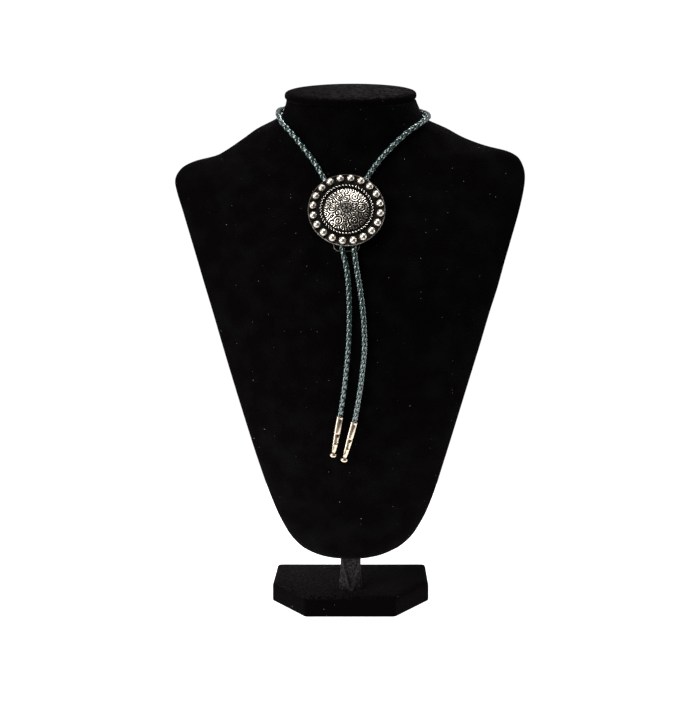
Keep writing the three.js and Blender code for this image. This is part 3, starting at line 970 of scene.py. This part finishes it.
    def dome(self, silver: bpy.types.Material) -> bpy.types.Object:
        """Turns the dome and carves its scrolls.

        Args:
            silver: Its material.

        Returns:
            The dome.
        """
        bm, recess = new_mesh()
        radii = [self.dome_radius * index / self.dome_rings for index in range(self.dome_rings + 1)]
        profile = [(radius, self.dome_height(radius)) for radius in radii]
        under = self.rope_seat - 0.0001
        turned(bm, [*profile, (self.dome_radius, under), (0.0, under)], self.dome_steps)
        centres = self.scroll_centres()
        for vert in bm.verts:
            if vert.co.z < self.dome_base - TURNED_SEAM:
                vert[recess] = 1.0
                continue
            height = self.carving(vert.co.x, vert.co.y, centres)
            vert.co.z += self.relief * (height - 0.5)
            vert[recess] = 1 - height
        bm.transform(CONCHO_PLACE)
        return finished(bm, "concho_dome", silver, Slot.ANTIQUED, "concho", crease=80)

    def build(self, silver: bpy.types.Material, soft_silver: bpy.types.Material) -> list[bpy.types.Object]:
        """Makes the four pieces of the concho, the beads in their softer polish."""
        return [self.plate(silver), self.beads(soft_silver), self.rope(silver), self.dome(silver)]


@dataclass
class Clasp:
    """The plain clasp behind the concho: a channel for the two cords and a wire keeper."""

    gap: float = 0.0003
    plate: float = 0.0008
    half_width: float = 0.0079
    bottom: float = -0.0192
    top: float = 0.0038
    wall: float = 0.0009
    rib: float = 0.0024
    rib_depth: float = 0.0020
    depth: float = 0.0052
    broken_edge: float = 0.00018
    wire_radius: float = 0.00036
    wire_steps: int = 120
    wire_sides: int = 14
    wire_step: float = 0.0004
    wire_half_width: float = 0.0081
    wire_bottom: float = -0.0252
    wire_depth: float = -0.0064
    wire_corner: float = 0.003

    def bar(
        self, bm: bmesh.types.BMesh, low: tuple[float, float, float], high: tuple[float, float, float],
    ) -> None:
        """Adds a bar of sheet metal with broken edges.

        Args:
            bm: The mesh that gets it.
            low: Its lowest corner.
            high: Its highest corner.
        """
        size = Vector(high) - Vector(low)
        place = Matrix.Translation((Vector(high) + Vector(low)) / 2) @ Matrix.Diagonal((*size, 1.0))
        made = bmesh.ops.create_cube(bm, size=1.0, matrix=place)
        edges = list({edge for vert in made["verts"] for edge in vert.link_edges})
        bmesh.ops.bevel(
            bm, geom=edges, offset=self.broken_edge, segments=2, profile=0.5, affect="EDGES", material=-1,
        )

    def channel(self, silver: bpy.types.Material) -> bpy.types.Object:
        """Folds the channel: its plate, two side walls and a rib between the cords.

        Args:
            silver: Its material.

        Returns:
            The channel.
        """
        bm, _ = new_mesh()
        front, inner, back = -self.gap, -self.gap - self.plate, -self.gap - self.depth
        width = self.half_width
        self.bar(bm, (-width, self.bottom, inner), (width, self.top, front))
        self.bar(bm, (-width, self.bottom, back), (self.wall - width, self.top, front))
        self.bar(bm, (width - self.wall, self.bottom, back), (width, self.top, front))
        self.bar(bm, (-self.rib / 2, self.bottom, inner - self.rib_depth), (self.rib / 2, self.top, front))
        bm.transform(CONCHO_PLACE)
        return finished(bm, "clasp_channel", silver, Slot.BRIGHT, "slide_clasp", crease=30)

    def wire(self, dull: bpy.types.Material) -> bpy.types.Object:
        """Bends the wire keeper, from the channel's left wall down and round to its right.

        Args:
            dull: Its material.

        Returns:
            The wire.
        """
        back, width = -self.gap - self.depth, self.half_width
        corner, low, side, deep = self.wire_corner, self.wire_bottom, self.wire_half_width, self.wire_depth
        route = Route([Vector(point) for point in (
            (-width - 0.0002, self.bottom + 0.004, back + 0.0006),
            (-width - 0.0004, self.bottom + 0.001, back + 0.0003),
            (-side, self.bottom - 0.0015, deep + 0.0002), (-side, low + corner, deep),
            (-side + 0.3 * corner, low + 0.3 * corner, deep), (-side + corner, low, deep), (0.0, low, deep),
            (side - corner, low, deep), (side - 0.3 * corner, low + 0.3 * corner, deep),
            (side, low + corner, deep), (side, low + corner + 0.001, deep),
        )], self.wire_step)

        def place(along: float, around: float) -> Vector:
            """Puts a point of the round wire."""
            return route.at(along * route.length, FULL_TURN * around, self.wire_radius)

        bm, _ = new_mesh()
        lay_grid(bm, self.wire_steps, self.wire_sides, place)
        bm.transform(CONCHO_PLACE)
        return finished(bm, "clasp_wire", dull, Slot.BRIGHT, "slide_clasp", crease=50)

    def build(self, silver: bpy.types.Material, dull: bpy.types.Material) -> list[bpy.types.Object]:
        """Makes the channel and its dull wire."""
        return [self.channel(silver), self.wire(dull)]


# Millimetres: height, left and right half-widths, front, widest point, back, side lip, crown
BUST_SECTIONS = (
    (34.6, 4, 4, -22, -20, -18, 1.5, 0.5), (36, 14.8, 14.2, -25.5, -20, -15, 4, 0.6),
    (40, 27, 26.6, -29.5, -20, -11.5, 5.5, 0.7), (47, 36.2, 37, -32.5, -20, -9.5, 6.5, 0.8),
    (60, 44.8, 46.3, -35, -20, -8, 7, 0.9), (75, 51.4, 53, -37, -20, -7, 7, 1),
    (100, 60, 60.8, -40.5, -20.5, -6, 7, 1), (130, 69.1, 69.6, -44, -21, -5, 7, 1),
    (160, 78, 78.5, -46, -19.5, -3, 7, 1), (180, 83.9, 84.6, -46, -17, -1, 7, 1),
    (200, 89.7, 90.5, -44.5, -14, 3, 7, 1), (215, 94.4, 95.5, -41.5, -10, 8, 7, 1),
    (230, 99.1, 99.9, -36.8, -5, 14, 7, 1), (243, 103.3, 104, -30, 0.5, 21, 7, 1),
    (264, 110.2, 110.5, -16.3, 10, 34, 7, 1), (275, 113.9, 113.2, -9.3, 15.5, 41, 7, 1),
    (281, 114.9, 114.1, -5.7, 18.5, 45, 7, 1), (286, 112.8, 114, -3, 21, 49, 7, 1),
    (290, 108.4, 112.9, -1.2, 23, 52, 7, 1), (293, 101.2, 111.4, 0.1, 24.5, 54, 6.5, 1),
    (296, 88.6, 108.7, 1.3, 26, 56.5, 6.5, 1), (299, 82.3, 102.3, 2.3, 27.5, 59, 6.5, 1),
    (302, 77.4, 89.4, 3, 29, 61, 6.5, 0.95), (307, 69.9, 74.9, 3.7, 31, 64, 6.5, 0.85),
    (313, 60.9, 62.9, 4, 33.5, 67, 6.5, 0.7), (318.5, 49.4, 49.9, 3.8, 35.5, 69.5, 6.5, 0.55),
    (321.5, 45.4, 46.9, 3.5, 36.3, 70.4, 6.5, 0.5), (325, 43.8, 45.5, 3.2, 37, 71, 6.5, 0.5),
    (331.5, 42.2, 43.2, 2.7, 37, 71.3, 6.5, 0.5),
)


@dataclass
class Bust:
    """The padded velvet torso and neck. Its sizes are in millimetres."""

    around: int = 120
    longest_step: float = 2.5
    # From the shoulders up, and in the toe, the outline turns fast and the mesh is finer
    finest_step: float = 0.75
    shoulders: float = 281
    toe: float = 40
    top_round: float = 1.2

    def heights(self) -> list[float]:
        """Lists the levels of the mesh, closer together where the shoulders and the toe turn.

        Returns:
            The heights, from the toe up.
        """
        levels = []
        for low, high in zip(BUST_SECTIONS, BUST_SECTIONS[1:]):
            turns = low[0] >= self.shoulders or low[0] < self.toe
            count = math.ceil((high[0] - low[0]) / (self.finest_step if turns else self.longest_step))
            levels.extend(low[0] + (high[0] - low[0]) * index / count for index in range(count))
        return [*levels, BUST_SECTIONS[-1][0]]

    def slope(self, at: int, column: int) -> float:
        """Gives a column's slope at a row of the table: the mean of those on both sides.

        Args:
            at: The row.
            column: The column.

        Returns:
            The slope, which is 0 at the table's ends.
        """
        if at in (0, len(BUST_SECTIONS) - 1):
            return 0.0
        rows = BUST_SECTIONS[at - 1:at + 2]
        below = (rows[1][column] - rows[0][column]) / (rows[1][0] - rows[0][0])
        above = (rows[2][column] - rows[1][column]) / (rows[2][0] - rows[1][0])
        return (below + above) / 2

    def section(self, height: float) -> list[float]:
        """Gives the section's sizes at a height, on a smooth curve through the table.

        Args:
            height: The height.

        Returns:
            The table's other columns, at that height.
        """
        last = len(BUST_SECTIONS) - 1
        index = next((i for i in range(last) if BUST_SECTIONS[i + 1][0] >= height), last - 1)
        start, stop = BUST_SECTIONS[index], BUST_SECTIONS[index + 1]
        span = stop[0] - start[0]
        part = (height - start[0]) / span
        values = []
        for column in range(1, len(start)):
            leave, reach = self.slope(index, column) * span, self.slope(index + 1, column) * span
            values.append(
                (2 * part ** 3 - 3 * part ** 2 + 1) * start[column]
                + (part ** 3 - 2 * part ** 2 + part) * leave
                + (3 * part ** 2 - 2 * part ** 3) * stop[column]
                + (part ** 3 - part ** 2) * reach
            )
        return values

    def point(self, height: float, angle: float) -> Vector:
        """Gives a point of the bust.

        Args:
            height: Its height.
            angle: The angle round the section, from the right and by the back.

        Returns:
            The point, in metres.
        """
        left, right, front, edge, back, lip, crown = self.section(height)
        across = math.cos(angle)
        swell = abs(math.sin(angle))
        behind = math.sin(angle) > 0
        reach = back - edge if behind else edge - front
        rounded = min(lip, reach)
        depth = rounded * swell + (reach - rounded) * swell ** (2 * crown)
        over = max(height - (BUST_SECTIONS[-1][0] - self.top_round), 0.0)
        drawn_in = self.top_round - math.sqrt(max(self.top_round ** 2 - over ** 2, 0.0))
        wide = across * ((right if across > 0 else left) - drawn_in)
        deep = depth * (1 - drawn_in / reach)
        return Vector((wide, edge + (deep if behind else -deep), height)) * MM

    def build(self, velvet: bpy.types.Material) -> bpy.types.Object:
        """Lofts the bust through its sections.

        Args:
            velvet: Its material.

        Returns:
            The bust.
        """
        levels = self.heights()
        rows = len(levels) - 1

        def place(up: float, around: float) -> Vector:
            """Puts a point of the bust's skin, at one of the levels."""
            return self.point(levels[round(up * rows)], FULL_TURN * around)

        bm, _ = new_mesh()
        lay_grid(bm, rows, self.around, place)
        bust = finished(bm, "velvet_bust", velvet, Slot.VELVET, "bust_body", crease=70)
        return bust


# Share of the cap's reach, and millimetres up: its puffed edge, from underneath to the middle of its top
CAP_EDGE = (
    (0.0, 0.0), (0.90, 0.0), (0.955, 0.25), (0.983, 0.8), (0.997, 1.6), (1.0, 2.5), (0.998, 3.5), (0.99, 4.4),
    (0.972, 5.05), (0.94, 5.5), (0.88, 5.87), (0.78, 6.23), (0.65, 6.5), (0.5, 6.7), (0.33, 6.83),
    (0.16, 6.9), (0.0, 6.9),
)


@dataclass
class Cap:
    """The thin padded oval cap on the neck."""

    half_width: float = 0.0434
    half_depth: float = 0.0350
    centre_y: float = 0.037
    bottom: float = 0.3315
    turn: float = math.radians(6)
    steps: int = 128

    def build(self, velvet: bpy.types.Material) -> bpy.types.Object:
        """Turns the cap's puffed edge and stretches it to an oval.

        Args:
            velvet: Its material.

        Returns:
            The cap.
        """
        bm, _ = new_mesh()
        turned(bm, [(reach, height * MM) for reach, height in CAP_EDGE], self.steps)
        bm.transform(
            Matrix.Translation((0.0, self.centre_y, self.bottom)) @ Matrix.Rotation(self.turn, 4, "Z")
            @ Matrix.Diagonal((self.half_width, self.half_depth, 1.0, 1.0))
        )
        cap = finished(bm, "velvet_cap", velvet, Slot.VELVET, "neck_cap", crease=60)
        return cap


# Millimetres: the base's corners and how far each is rounded
BASE_CORNERS = ((29.2, -38, 2), (52, -1, 2), (50.8, 38, 4), (-49.6, 38, 4), (-52, -1, 2), (-29.9, -38, 2))
# Millimetres: how far in, and how high, the base's padded edge runs from underneath to its top
BASE_EDGE = (
    (0.3, 0), (0, 0.3), (0, 3), (0, 7), (0, 10), (0.2, 11.2), (0.8, 12.3), (1.7, 13), (3, 13.4), (5, 13.65),
    (8, 13.8), (13, 13.9), (20, 13.96), (28, 14),
)


@dataclass
class Stand:
    """The six-sided base board and the post, both wrapped in velvet."""

    height: float = 0.014
    corner_steps: int = 6
    side_steps: int = 14
    # The share of its padded edge that the board keeps at the back
    sharp_back: float = 0.12
    post_rows: int = 60
    post_around: int = 144
    post_width: float = 0.0132
    post_depth: float = 0.010
    post_square: float = 0.55
    post_y: float = -0.018
    post_top: float = 0.052
    # How far up the post its V of folds runs, and how wide and high a fold is
    fold_reach: float = 0.020
    fold_width: float = 0.0007
    fold_height: float = 0.0020
    pleats: int = 13

    def outline(self) -> list[Vector]:
        """Draws the board's outline in small steps, with its corners rounded.

        Returns:
            Its points, in millimetres.
        """
        count = len(BASE_CORNERS)
        corners = [Vector((x, y)) for x, y, _ in BASE_CORNERS]
        points = []
        for index, (_, _, radius) in enumerate(BASE_CORNERS):
            here, after = corners[index], corners[(index + 1) % count]
            start = here + (corners[index - 1] - here).normalized() * radius
            stop = here + (after - here).normalized() * radius
            for step in range(self.corner_steps):
                share = step / self.corner_steps
                points.append((1 - share) ** 2 * start + 2 * share * (1 - share) * here + share ** 2 * stop)
            following = after + (here - after).normalized() * BASE_CORNERS[(index + 1) % count][2]
            points.extend(stop.lerp(following, step / self.side_steps) for step in range(self.side_steps))
        return points

    def base(self, velvet: bpy.types.Material) -> bpy.types.Object:
        """Lofts the board: a firm underside and a padded edge that rolls softly over its front and sides.

        Args:
            velvet: Its material.

        Returns:
            The base.
        """
        line = self.outline()
        rows = len(BASE_EDGE) - 1
        bm, _ = new_mesh()

        def place(along: float, around: float) -> Vector:
            """Puts a point of the board's skin.

            Args:
                along: The share of the way from underneath to its top.
                around: The share of the way round its outline.

            Returns:
                The point.
            """
            inset, level = BASE_EDGE[round(along * rows)]
            point = line[round(around * len(line)) % len(line)]
            soft = 1 - (1 - self.sharp_back) * smooth_step(30, 38, point.y) * (inset < 4)
            return Vector((*(point * (1 - inset * soft / point.length)), level)) * MM

        lay_grid(bm, rows, len(line), place)
        return finished(bm, "velvet_base", velvet, Slot.VELVET, "stand_base", crease=60)

    def post_point(self, along: float, around: float) -> Vector:
        """Puts a point of the wrapped post.

        Args:
            along: The share of the way up.
            around: The share of a turn round it.

        Returns:
            The point.
        """
        up = self.height + (self.post_top - self.height) * along
        turn = FULL_TURN * around
        x = self.post_width / 2 * signed_power(math.cos(turn), self.post_square)
        y = self.post_depth / 2 * signed_power(math.sin(turn), self.post_square)
        rise = (up - self.height) / self.fold_reach
        # Fine pleats all round, which flare and deepen towards the foot
        low = 1 - smooth_step(0.0, 0.7, rise)
        pleats = math.cos(self.pleats * turn + 2 * math.sin(2 * turn))
        flare = 1 + 0.012 * pleats + low * (0.08 + 0.05 * pleats)
        # The folds stand 0.6 mm to either side at the foot, and part further up
        spread = (0.6 + 5.0 * rise) * MM
        folds = sum(math.exp(-((x - 0.4 * MM - side * spread) / self.fold_width) ** 2) for side in (-1, 1))
        front = self.fold_height * folds * smooth_step(0.2, 0.8, -math.sin(turn))
        return Vector((x * flare, self.post_y + y * flare - front, up))

    def post(self, velvet: bpy.types.Material) -> bpy.types.Object:
        """Wraps the post: a rounded upright whose velvet is gathered into a V in front, down to its foot.

        Args:
            velvet: Its material.

        Returns:
            The post.
        """
        bm, _ = new_mesh()
        lay_grid(bm, self.post_rows, self.post_around, self.post_point)
        return finished(bm, "velvet_post", velvet, Slot.VELVET, "stand_post", crease=60)

    def build(self, velvet: bpy.types.Material, thin_velvet: bpy.types.Material) -> list[bpy.types.Object]:
        """Makes the base, and the post in its thinner cloth."""
        return [self.base(velvet), self.post(thin_velvet)]


# Name, place, width and height, and how bright the face is. Together they light the bust from both sides,
# from above and from behind, and leave its front dark
SOFTBOXES = (
    ("key_box", (-0.80, -0.88, 0.85), (0.60, 0.60), 8.0),
    ("top_box", (0.13, 0.16, 1.50), (0.75, 0.50), 9.5),
    ("left_wall", (-1.20, -0.35, 0.15), (0.30, 0.90), 6.4),
    ("right_strip", (1.20, 0.10, 0.20), (0.40, 1.00), 3.0),
)


@dataclass
class Studio:
    """The camera, the soft lights, the white tent round them and the white floor."""

    camera_place: tuple[float, float, float] = (-0.0004, -2.1486, 0.6669)
    camera_tilt: float = 77.0
    film_width: float = 36.0
    focal_pixels: float = 3353.66
    image_width: float = 700.0
    aim: tuple[float, float, float] = (0.0, -0.03, 0.24)
    # The tent is open in front, where the camera stands, a little to the right
    opening: tuple[float, float, float] = (0.525, -0.840, 0.139)
    opening_edge: float = 0.82
    tent_edge: float = 0.44
    opening_light: float = 0.04
    tent_light: float = 0.32
    # What the camera sees of the tent is just past white
    backdrop_light: float = 1.02
    floor_radius: float = 0.30

    def camera(self) -> None:
        """Stands the camera where the photograph was taken from."""
        data = bpy.data.cameras.new("studio_camera")
        data.sensor_width = self.film_width
        data.lens = self.film_width * self.focal_pixels / self.image_width
        camera = bpy.data.objects.new("studio_camera", data)
        camera.location = self.camera_place
        camera.rotation_euler = (math.radians(self.camera_tilt), 0.0, 0.0)
        bpy.context.scene.collection.objects.link(camera)
        bpy.context.scene.camera = camera

    def softbox(
        self, name: str, place: tuple[float, float, float], size: tuple[float, float], radiance: float,
    ) -> None:
        """Hangs a soft rectangular light.

        Args:
            name: Its name.
            place: Where its middle is.
            size: Its width and height.
            radiance: How bright its face is.
        """
        data = bpy.data.lights.new(name, "AREA")
        data.shape = "RECTANGLE"
        data.size, data.size_y = size
        data.energy = radiance * size[0] * size[1] * math.pi
        lamp = bpy.data.objects.new(name, data)
        lamp.location = place
        lamp.rotation_euler = (Vector(self.aim) - Vector(place)).to_track_quat("-Z", "Y").to_euler()
        lamp.visible_camera = False
        bpy.context.scene.collection.objects.link(lamp)

    def tent(self) -> None:
        """Surrounds the bust with a white tent, which is darker through its opening."""
        world = bpy.data.worlds.new("white_tent")
        bpy.context.scene.world = world
        world.use_nodes = True
        tree = world.node_tree
        ray = add_node(tree, "ShaderNodeTexCoord").outputs["Generated"]
        facing = add_node(tree, "ShaderNodeVectorMath", {0: ray, 1: self.opening}, operation="DOT_PRODUCT")
        closed = add_node(tree, "ShaderNodeMapRange", {
            "Value": facing, "From Min": self.opening_edge, "From Max": self.tent_edge,
            "To Min": self.opening_light, "To Max": self.tent_light,
        })
        seen = add_node(tree, "ShaderNodeLightPath").outputs["Is Camera Ray"]
        strength = add_node(tree, "ShaderNodeMix", {"Factor": seen, "A": closed, "B": self.backdrop_light})
        fill(tree.nodes["Background"], {"Strength": strength, "Color": WHITE})

    def floor(self) -> None:
        """Lays the plain white floor, a round table top lit until it's as white as the paper behind it."""
        bm = bmesh.new()
        bmesh.ops.create_circle(bm, cap_ends=True, segments=96, radius=self.floor_radius)
        mesh = bpy.data.meshes.new("floor")
        bm.to_mesh(mesh)
        bm.free()
        material, *_ = new_surface(
            "white_paper", Roughness=0.9, Base_Color=linear("#f4f4f4"), Emission_Color=WHITE,
            Emission_Strength=1.0,
        )
        mesh.materials.append(material)
        ground = bpy.data.objects.new("floor", mesh)
        bpy.context.scene.collection.objects.link(ground)

    def build(self) -> None:
        """Sets up the camera, lights, tent and floor."""
        self.camera()
        for light in SOFTBOXES:
            self.softbox(*light)
        self.tent()
        self.floor()
        bpy.context.scene.view_settings.view_transform = "Standard"


def main() -> None:
    """Builds the studio, the bolo tie and the bust that holds it."""
    Studio().build()
    bright = BrightSilver().material()
    # A darker, rougher copy of the clasp's silver, for the wire keeper
    dull = BrightSilver("darker_wire_silver", silver="#9a9082", worn="#6b6256", polish=0.35).material()
    antiqued = AntiquedSilver().material()
    soft_antiqued = AntiquedSilver("antiqued_beads", polish=0.36).material()
    velvet = Velvet().material()
    # Painted sheen: the cap's top is lighter, and more so to the right, as the top lamp grazes it
    cap_velvet = Velvet(
        "cap_velvet", brushed_and_lit="#2a2829", sheen=0.03, patch_size=0.003, above=0.3383, painted_light_lean=-0.05,
    ).material()
    # Painted light: the base's top is lighter, and more so to the left, where the key lamp falls
    worn_and_lit_velvet = Velvet(
        "worn_and_lit_velvet", brushed_and_lit="#201e1f", sheen=0.035, patch_size=0.0012, above=0.0134, painted_light_lean=0.04,
    ).material()
    thin_velvet = Velvet(
        "thin_velvet", pile="#1c1a1b", brushed_and_lit="#403e3f", sheen=0.22, patch_size=0.0012,
    ).material()
    tips = [
        Tip("spun_left_tip", (-6.7, -48.3, 138.6), (-11.5, -48.0, 111.2)).build(bright),
        Tip("spun_right_tip", (2.4, -48.3, 134.9), (-4.8, -48.0, 107.4)).build(bright),
    ]
    BraidedCord().build(BraidLeather().material(), tips)
    Concho().build(antiqued, soft_antiqued)
    Clasp().build(bright, dull)
    Bust().build(velvet)
    Cap().build(cap_velvet)
    Stand().build(worn_and_lit_velvet, thin_velvet)


if __name__ == "__main__":
    logging.basicConfig(level=logging.INFO)
    main()
